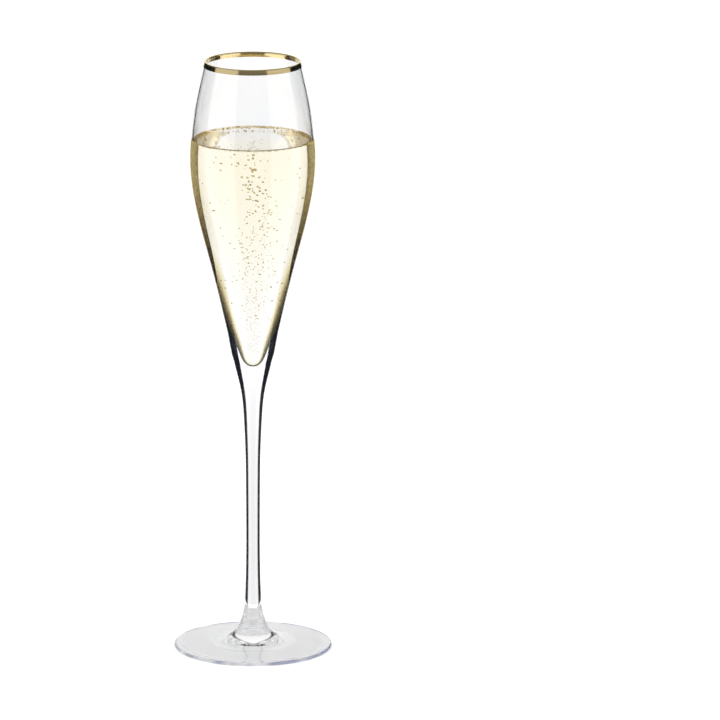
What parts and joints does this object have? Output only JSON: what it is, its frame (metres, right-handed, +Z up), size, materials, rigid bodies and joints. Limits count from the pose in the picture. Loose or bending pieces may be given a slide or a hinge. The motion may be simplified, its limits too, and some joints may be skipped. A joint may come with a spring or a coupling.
{
  "type": "champagne flute",
  "caption": "Tall stemmed glass flute with a tulip bowl, thick pointed base, round foot and gold-banded lip, part filled with sparkling wine.",
  "frame": {"origin": "centre of the foot's contact face, on the surface that the glass stands on", "axes": "+Z up along the axis of the glass, from the foot to the lip; X and Y are any two directions across it"},
  "size_m": [0.072, 0.072, 0.2731],
  "materials": {
    "bowl_glass": "clear fire-polished crystal glass",
    "stem_glass": "clear fire-polished crystal glass, solid",
    "foot_glass": "clear pressed crystal glass",
    "gold": "polished fired gold",
    "wine": "clear pale gold sparkling wine"
  },
  "bodies": {
    "root": {"bowl": "bowl_glass", "stem": "stem_glass", "foot": "foot_glass", "gold_rim": "gold", "champagne": "wine"}
  },
  "joints": []
}
